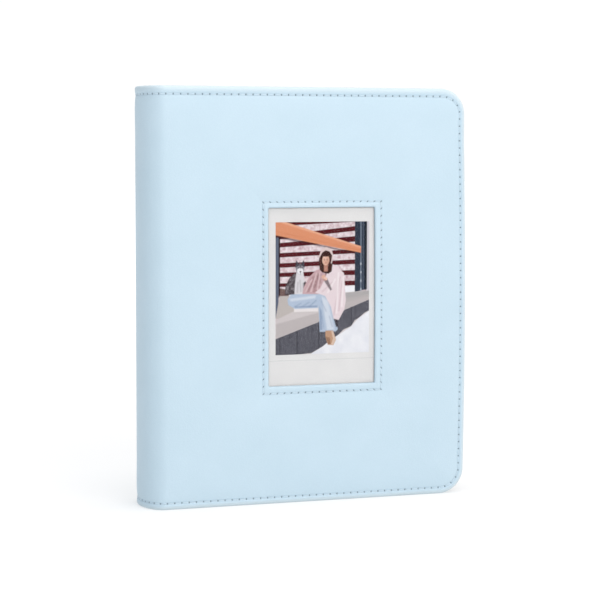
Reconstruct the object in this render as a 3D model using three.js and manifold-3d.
// A pocket scrapbook album for instant prints: a padded leather-covered case with a sewn window in
// its front cover, and a block of pocket leaves bound to the inside of a round spine.
// Millimetres, +Z up. The closed album stands on its bottom edges: spine at -X, fore-edge at +X,
// front cover at -Y. The origin is the bottom centre of the closed album.

import * as THREE from "three";
import { mergeVertices } from "three/addons/utils/BufferGeometryUtils.js";
import Module from "manifold-3d";

// The instant print that the window and every pocket are made for.
const printWidth = 54;
const printHeight = 86;
const printThickness = 0.3;

// The pocket leaves: two columns and two rows of film pockets on each face of a centre sheet.
const leafCount = 16;
const leafPitch = 1.4;
const pocketColumns = 2;
const pocketRows = 2;
const pocketSideRoom = 3;
const pocketTopRoom = 2.5;
const pocketSlit = printThickness;
const pocketFilm = 0.15;
const pocketWeld = 1;
const sheetThickness = 0.3;
const hingeStripWidth = 12;
const marginAtHinge = 3;
const marginBetweenColumns = 4;
const marginAtForeEdge = 4;
const marginAtFoot = 3;
const marginBetweenRows = 2;
const marginAtHead = 2;
const creaseGap = 0.3;
const leafCornerRadius = 6;
const thumbNotchRadius = 8;

// The case: what each cover and the spine are built up from, outside to inside.
const leatherThickness = 0.8;
const foamThickness = 1.4;
const boardThickness = 1.6;
const liningThickness = 0.6;
const glueLine = 0.1;
const leafToLining = 0.6;
const coverOverhang = 4.5;
const foreEdgeOverhang = 8.2;
const coverCornerRadius = 12;
const edgeRound = 1.2;
const edgeClearance = 0.3;

// The round spine and the two soft hinges beside it.
const spineBulge = 8.6;
const spineBoardHalfWidth = 9;
const hingeFlat = 3;
const hingeGap = 0.3;
const creaseInset = 2.9;

// The binding block that holds the leaves' roots.
const bindingPlate = 0.8;
const bindingSideRoom = 0.8;
const bindingClearance = 0.3;
const rootThickness = 0.5;

// The window in the front cover and what lies behind it.
const windowSideLip = 0.9;
const windowEndLip = 1.6;
const windowDrop = 0.9;
const windowFilmMargin = 6;
const windowFilmThickness = 0.3;
const printShiftX = 0.9;
const printDrop = 1.3;
const printRoom = 1;
const printSlotHeight = 7;
const printSlotSideRoom = 2;

// The seams.
const edgeSeamInset = 3.2;
const windowSeamOffset = 3.1;
const seamGrooveWidth = 1.2;
const seamGrooveDepth = 0.45;
const threadWidth = 0.6;
const threadHeight = 0.3;
const threadRecess = 0.05;

// How finely round things are made.
const arcSegments = 6;
const edgeSegments = 3;
const spineSegments = 16;

// Sizes that follow.
const pocketWidth = printWidth + pocketSideRoom;
const pocketHeight = printHeight + pocketTopRoom;
const pocketsAcross = pocketColumns * pocketWidth + (pocketColumns - 1) * marginBetweenColumns;
const pocketsUp = pocketRows * pocketHeight + (pocketRows - 1) * marginBetweenRows;
const leafReach = creaseGap + hingeStripWidth + marginAtHinge + pocketsAcross + marginAtForeEdge;
const leafHeight = marginAtFoot + pocketsUp + marginAtHead;
const leafFoot = coverOverhang;
const leafHead = leafFoot + leafHeight;
const foamDepth = leatherThickness + glueLine;
const boardDepth = foamDepth + foamThickness + glueLine;
const liningDepth = boardDepth + boardThickness + glueLine;
const coverThickness = liningDepth + liningThickness;
const blockThickness = leafCount * leafPitch + 2 * leafToLining;
const halfThickness = coverThickness + blockThickness / 2;
const flatWidth = creaseInset + leafReach + foreEdgeOverhang;
const coverHeight = leafHeight + 2 * coverOverhang;
const foreEdgeX = (spineBulge + flatWidth) / 2;
const flatX = foreEdgeX - flatWidth;
const boardX = flatX + hingeFlat;
const creaseX = flatX + creaseInset;
const windowWidth = printWidth - 2 * windowSideLip;
const windowHeight = printHeight - 2 * windowEndLip;
const windowX = (boardX + foreEdgeX) / 2;
const windowZ = coverHeight / 2 - windowDrop;
const seamWindowWidth = windowWidth + 2 * windowSeamOffset;
const seamWindowHeight = windowHeight + 2 * windowSeamOffset;

// Solid modelling: three.js makes each shape, and manifold-3d only cuts and joins them.
const wasm = await Module();
wasm.setup();

function solid(geometry) {
  const bare = geometry.clone();
  bare.deleteAttribute("normal");
  bare.deleteAttribute("uv");
  const merged = mergeVertices(bare, 1e-4);
  const vertProperties = new Float32Array(merged.attributes.position.array);
  const triVerts = new Uint32Array(merged.index.array);
  return new wasm.Manifold(new wasm.Mesh({ numProp: 3, vertProperties, triVerts }));
}

function geometryOf(manifold) {
  const mesh = manifold.getMesh();
  return new THREE.BufferGeometry()
    .setAttribute("position", new THREE.BufferAttribute(new Float32Array(mesh.vertProperties), 3))
    .setIndex(new THREE.BufferAttribute(new Uint32Array(mesh.triVerts), 1))
    .toNonIndexed();
}

// An upright plate: an outline in X and Z, from yLow to yHigh.
function plate(outline, yLow, yHigh) {
  const made = new THREE.ExtrudeGeometry(outline, {
    depth: yHigh - yLow,
    bevelEnabled: false,
    curveSegments: arcSegments,
  });
  return made.rotateX(Math.PI / 2).translate(0, yHigh, 0);
}

// A column: an outline in X and Y, from the foot of the cover to its head.
function column(outline, zLow = 0, zHigh = coverHeight) {
  const made = new THREE.ExtrudeGeometry(outline, {
    depth: zHigh - zLow,
    bevelEnabled: false,
    curveSegments: arcSegments,
  });
  return made.translate(0, 0, zLow);
}

// Both kinds again, with their outer edges rounded.
function roundedExtrusion(outline, length) {
  return new THREE.ExtrudeGeometry(outline, {
    depth: length - 2 * edgeRound,
    bevelThickness: edgeRound,
    bevelSize: edgeRound,
    bevelOffset: -edgeRound,
    bevelSegments: edgeSegments,
    curveSegments: arcSegments,
  }).translate(0, 0, edgeRound);
}

// A rectangle with a corner radius of its own on the left and on the right.
function rectangle(xLow, xHigh, zLow, zHigh, leftRadius = 0, rightRadius = 0) {
  const s = new THREE.Shape();
  s.moveTo(xLow + leftRadius, zLow);
  s.lineTo(xHigh - rightRadius, zLow);
  if (rightRadius) s.absarc(xHigh - rightRadius, zLow + rightRadius, rightRadius, -Math.PI / 2, 0);
  s.lineTo(xHigh, zHigh - rightRadius);
  if (rightRadius) s.absarc(xHigh - rightRadius, zHigh - rightRadius, rightRadius, 0, Math.PI / 2);
  s.lineTo(xLow + leftRadius, zHigh);
  if (leftRadius) s.absarc(xLow + leftRadius, zHigh - leftRadius, leftRadius, Math.PI / 2, Math.PI);
  s.lineTo(xLow, zLow + leftRadius);
  if (leftRadius) s.absarc(xLow + leftRadius, zLow + leftRadius, leftRadius, Math.PI, 1.5 * Math.PI);
  return s;
}

function centredRectangle(width, height, x, z, radius = 0) {
  return rectangle(x - width / 2, x + width / 2, z - height / 2, z + height / 2, radius, radius);
}

// A cover panel's outline: square at the hinge, round at the two fore-edge corners.
function panel(inset, hingeX = boardX) {
  const radius = Math.max(coverCornerRadius - inset, 1);
  return rectangle(hingeX, foreEdgeX - inset, inset, coverHeight - inset, 0, radius);
}

// The span in Y of a layer between two depths below the outer face; side is -1 front, +1 back.
function layer(side, depthOut, depthIn) {
  const faces = [side * (halfThickness - depthOut), side * (halfThickness - depthIn)];
  return faces.sort((a, b) => a - b);
}

const group = new THREE.Group();

const finishes = {
  leather: new THREE.MeshStandardMaterial({ color: 0xcfe4f1, roughness: 0.55, metalness: 0 }),
  foam: new THREE.MeshStandardMaterial({ color: 0xf4f4f0, roughness: 0.95, metalness: 0 }),
  board: new THREE.MeshStandardMaterial({ color: 0x9a9284, roughness: 0.9, metalness: 0 }),
  lining: new THREE.MeshStandardMaterial({ color: 0xc4d8e4, roughness: 0.9, metalness: 0 }),
  thread: new THREE.MeshStandardMaterial({ color: 0xc9e1ee, roughness: 0.6, metalness: 0 }),
  film: new THREE.MeshStandardMaterial({ color: 0xf3f7f9, roughness: 0.12, metalness: 0 }),
  print: new THREE.MeshStandardMaterial({ color: 0xe9e8e6, roughness: 0.35, metalness: 0 }),
  card: new THREE.MeshStandardMaterial({ color: 0xdedcd6, roughness: 0.9, metalness: 0 }),
  leaf: new THREE.MeshStandardMaterial({ color: 0xf2f4f4, roughness: 0.3, metalness: 0 }),
  binding: new THREE.MeshStandardMaterial({ color: 0xe6eaeb, roughness: 0.5, metalness: 0 }),
};

function add(name, made, finish) {
  const geometry = made.isBufferGeometry ? made : geometryOf(made);
  const mesh = new THREE.Mesh(geometry, finishes[finish]);
  mesh.name = name;
  group.add(mesh);
}

// The U-shaped run of the seam round a cover's three free edges.
function edgeSeam(side, width, depthOut, depthIn, hingeX) {
  const [yLow, yHigh] = layer(side, depthOut, depthIn);
  const outer = solid(plate(panel(edgeSeamInset - width / 2, hingeX), yLow, yHigh));
  const core = panel(edgeSeamInset + width / 2, hingeX - 2 * seamGrooveWidth);
  const margin = seamGrooveDepth;
  return outer.subtract(solid(plate(core, yLow - margin, yHigh + margin)));
}

// The rectangular run of the seam round the window.
function windowSeam(width, depthOut, depthIn) {
  const [yLow, yHigh] = layer(-1, depthOut, depthIn);
  const outline = centredRectangle(seamWindowWidth + width, seamWindowHeight + width, windowX, windowZ);
  outline.holes.push(
    centredRectangle(seamWindowWidth - width, seamWindowHeight - width, windowX, windowZ),
  );
  return solid(plate(outline, yLow, yHigh));
}

// The leather of a cover: a face sheet and the turned edge that wraps its three free sides.
function coverLeather(side) {
  const body = roundedExtrusion(panel(0, boardX - 2 * coverThickness), 2 * halfThickness)
    .rotateX(Math.PI / 2)
    .translate(0, halfThickness, 0);
  const slab = solid(plate(panel(0), ...layer(side, 0, coverThickness)));
  const inside = layer(side, leatherThickness, 2 * coverThickness);
  const hollow = solid(plate(panel(leatherThickness, boardX - leatherThickness), ...inside));
  const groove = edgeSeam(side, seamGrooveWidth, -seamGrooveDepth, seamGrooveDepth, boardX - 1);
  return slab.intersect(solid(body)).subtract(hollow).subtract(groove);
}

function coverSheet(side, depthOut, depthIn, outline) {
  return solid(plate(outline, ...layer(side, depthOut, depthIn)));
}

const insidePanel = () => panel(leatherThickness + edgeClearance, boardX);

// What both covers have.
function cover(side, name, cuts) {
  const leather = coverLeather(side);
  const foam = coverSheet(side, foamDepth, foamDepth + foamThickness, insidePanel());
  const board = coverSheet(side, boardDepth, boardDepth + boardThickness, insidePanel());
  const lining = coverSheet(side, liningDepth, coverThickness, insidePanel());
  add(`${name}_leather`, cuts ? leather.subtract(cuts.leather) : leather, "leather");
  add(`${name}_foam`, cuts ? foam.subtract(cuts.foam) : foam, "foam");
  add(`${name}_board`, cuts ? board.subtract(cuts.board) : board, "board");
  add(`${name}_lining`, cuts ? lining.subtract(cuts.lining) : lining, "lining");
  const threadIn = threadRecess + threadHeight;
  add(`${name}_edge_thread`, edgeSeam(side, threadWidth, threadRecess, threadIn, boardX), "thread");
}

// The window: an opening in the leather, a film sewn behind it, and a bay that the print slides
// into through a slot in the lining.
const printX = windowX + printShiftX;
const printZ = windowZ - printDrop;
const filmDepth = leatherThickness + glueLine;
const printDepth = filmDepth + windowFilmThickness + glueLine;
const cardDepth = printDepth + printThickness + glueLine;
const filmWidth = windowWidth + 2 * windowFilmMargin;
const filmHeight = windowHeight + 2 * windowFilmMargin;
const bayHalfWidth = printWidth / 2 + printRoom;
const bayFoot = printZ - printHeight / 2 - printRoom;
const slotFoot = printZ + printHeight / 2 + printRoom;
const slotHead = slotFoot + printSlotHeight;

function windowCuts() {
  const through = layer(-1, -coverThickness, 2 * coverThickness);
  const opening = centredRectangle(windowWidth, windowHeight, windowX, windowZ, 1);
  const room = 2 * edgeClearance;
  const pane = centredRectangle(filmWidth + room, filmHeight + room, windowX, windowZ);
  const paneSpan = layer(-1, filmDepth - glueLine, filmDepth + windowFilmThickness + glueLine);
  const bay = rectangle(printX - bayHalfWidth, printX + bayHalfWidth, bayFoot, slotHead);
  const slotHalf = bayHalfWidth - printSlotSideRoom / 2;
  const slot = rectangle(printX - slotHalf, printX + slotHalf, slotFoot, slotHead, 3, 3);
  const groove = windowSeam(seamGrooveWidth, -seamGrooveDepth, seamGrooveDepth);
  return {
    leather: solid(plate(opening, ...through)).add(groove),
    foam: solid(plate(pane, ...paneSpan)).add(solid(plate(bay, ...through))),
    board: solid(plate(bay, ...through)),
    lining: solid(plate(slot, ...through)),
  };
}

function windowPieces() {
  const film = centredRectangle(filmWidth, filmHeight, windowX, windowZ);
  const print = centredRectangle(printWidth, printHeight, printX, printZ, 1.5);
  const filmSpan = layer(-1, filmDepth, filmDepth + windowFilmThickness);
  const printSpan = layer(-1, printDepth, printDepth + printThickness);
  const cardSpan = layer(-1, cardDepth, liningDepth - glueLine);
  add("window_film", plate(film, ...filmSpan), "film");
  add("window_print", plate(print, ...printSpan), "print");
  add("print_backing_board", plate(print, ...cardSpan), "card");
  const threadIn = threadRecess + threadHeight;
  add("window_thread", windowSeam(threadWidth, threadRecess, threadIn), "thread");
}

// The round spine. Every layer is an arc of an ellipse that meets the covers' layers at its ends.
// angle is 0 at the middle of the spine, -90 degrees at the front cover and +90 at the back.
function spinePoint(angle, depth) {
  const x = flatX - (spineBulge - depth) * Math.cos(angle);
  return new THREE.Vector2(x, (halfThickness - depth) * Math.sin(angle));
}

const quarter = Math.PI / 2;
const spineEdge = Math.asin(spineBoardHalfWidth / halfThickness);

// The angle that a gap of the given width takes at the edge of the spine's board.
function gapAngle(width) {
  const across = spineBulge * Math.sin(spineEdge);
  const along = halfThickness * Math.cos(spineEdge);
  return width / Math.hypot(across, along);
}

// A run along the spine's curve; one that reaches a cover goes on flat up to endX.
function run(from, to, depth, endX) {
  const points = [];
  const y = halfThickness - depth;
  if (from === -quarter) points.push(new THREE.Vector2(endX, -y));
  for (let i = 0; i <= spineSegments; i++) {
    points.push(spinePoint(from + ((to - from) * i) / spineSegments, depth));
  }
  if (to === quarter) points.push(new THREE.Vector2(endX, y));
  return points;
}

function strip(from, to, depthOut, depthIn, endX = boardX - hingeGap) {
  const outer = run(from, to, depthOut, endX).reverse();
  return new THREE.Shape([...outer, ...run(from, to, depthIn, endX)]);
}

// The whole round back with its head and foot edges rounded; leather is cut to it.
function roundedBack() {
  return solid(roundedExtrusion(strip(-quarter, quarter, 0, spineBulge, windowX), coverHeight));
}

// A run of the leather, turned in at the head and the foot, with grooves for the two seams.
function backLeather(from, to) {
  const ends = leatherThickness;
  const past = gapAngle(2 * hingeGap);
  const far = boardX + coverThickness;
  const cutFrom = from === -quarter ? from : from - past;
  const cutTo = to === quarter ? to : to + past;
  const hollow = strip(cutFrom, cutTo, leatherThickness, 1.5 * coverThickness, far);
  let made = solid(column(strip(from, to, 0, coverThickness)));
  made = made.subtract(solid(column(hollow, ends, coverHeight - ends)));
  for (const z of [edgeSeamInset, coverHeight - edgeSeamInset]) {
    const groove = strip(cutFrom, cutTo, -seamGrooveDepth, seamGrooveDepth, far);
    made = made.subtract(solid(column(groove, z - seamGrooveWidth / 2, z + seamGrooveWidth / 2)));
  }
  return made.intersect(roundedBack());
}

function backLayer(from, to, depthOut, depthIn) {
  const inset = leatherThickness + edgeClearance;
  return column(strip(from, to, depthOut, depthIn), inset, coverHeight - inset);
}

function spine() {
  const [low, high] = [-spineEdge, spineEdge];
  add("spine_leather", backLeather(low, high), "leather");
  add("spine_foam", backLayer(low, high, foamDepth, foamDepth + foamThickness), "foam");
  add("spine_board", backLayer(low, high, boardDepth, boardDepth + boardThickness), "board");
  add("spine_lining", backLayer(low, high, liningDepth, coverThickness), "lining");
  const start = spineEdge + gapAngle(hingeGap);
  add("front_hinge_leather", backLeather(-quarter, -start), "leather");
  add("back_hinge_leather", backLeather(start, quarter), "leather");
  add("front_hinge_lining", backLayer(-quarter, -start, liningDepth, coverThickness), "lining");
  add("back_hinge_lining", backLayer(start, quarter, liningDepth, coverThickness), "lining");
}

// The thread of the head and foot seams where they run round the spine.
function spineThread(z) {
  const outline = strip(-quarter, quarter, threadRecess, threadRecess + threadHeight);
  return column(outline, z - threadWidth / 2, z + threadWidth / 2);
}

// The binding block: a round-backed core glued into the spine, with one root for each leaf.
const leafY = (i) => (i - (leafCount - 1) / 2) * leafPitch;

function bindingBlock() {
  const halfWidth = blockThickness / 2 - bindingSideRoom;
  const depth = coverThickness + bindingClearance;
  const edge = Math.asin(halfWidth / (halfThickness - depth));
  const plateX = flatX + bindingPlate;
  const back = run(edge, -edge, depth);
  const front = [new THREE.Vector2(plateX, -halfWidth), new THREE.Vector2(plateX, halfWidth)];
  let block = solid(column(new THREE.Shape([...back, ...front]), leafFoot, leafHead));
  const root = rectangle(plateX - bindingPlate / 2, creaseX, leafFoot, leafHead);
  for (let i = 0; i < leafCount; i++) {
    const y = leafY(i);
    block = block.add(solid(plate(root, y - rootThickness / 2, y + rootThickness / 2)));
  }
  return block;
}

// A leaf: one sheet whose bare strip at the crease is its hinge, and pockets on both faces. Each
// pocket is a film welded at its sides and foot, open at its mouth, with a thumb notch there.
function pocketOutline(xLow, zLow) {
  const middle = xLow + pocketWidth / 2;
  const mouth = zLow + pocketHeight;
  const s = new THREE.Shape();
  s.moveTo(xLow, zLow);
  s.lineTo(xLow + pocketWidth, zLow);
  s.lineTo(xLow + pocketWidth, mouth);
  s.lineTo(middle + thumbNotchRadius, mouth);
  s.absarc(middle, mouth, thumbNotchRadius, 0, -Math.PI, true);
  s.lineTo(xLow, mouth);
  return s;
}

function leaf() {
  const sheetFace = sheetThickness / 2;
  const pocketFace = sheetFace + pocketSlit + pocketFilm;
  const stripX = creaseX + creaseGap;
  const end = creaseX + leafReach;
  const sheet = rectangle(stripX, end, leafFoot, leafHead, 0, leafCornerRadius);
  let made = solid(plate(sheet, -sheetFace, sheetFace));
  const firstX = stripX + hingeStripWidth + marginAtHinge;
  const firstZ = leafFoot + marginAtFoot;
  for (let across = 0; across < pocketColumns; across++) {
    for (let up = 0; up < pocketRows; up++) {
      const x = firstX + across * (pocketWidth + marginBetweenColumns);
      const z = firstZ + up * (pocketHeight + marginBetweenRows);
      const mouth = z + pocketHeight;
      const inside = rectangle(x + pocketWeld, x + pocketWidth - pocketWeld, z + pocketWeld, mouth + 1);
      made = made.add(solid(plate(pocketOutline(x, z), -pocketFace, pocketFace)));
      made = made.subtract(solid(plate(inside, sheetFace, sheetFace + pocketSlit)));
      made = made.subtract(solid(plate(inside, -sheetFace - pocketSlit, -sheetFace)));
    }
  }
  return geometryOf(made);
}

cover(-1, "front", windowCuts());
windowPieces();
cover(1, "back", null);
spine();
add("spine_head_thread", spineThread(coverHeight - edgeSeamInset), "thread");
add("spine_foot_thread", spineThread(edgeSeamInset), "thread");
add("binding_block", bindingBlock(), "binding");
const leafGeometry = leaf();
for (let i = 0; i < leafCount; i++) {
  const name = `leaf_${String(i + 1).padStart(2, "0")}`;
  add(name, leafGeometry.clone().translate(0, leafY(i), 0), "leaf");
}

export default group;
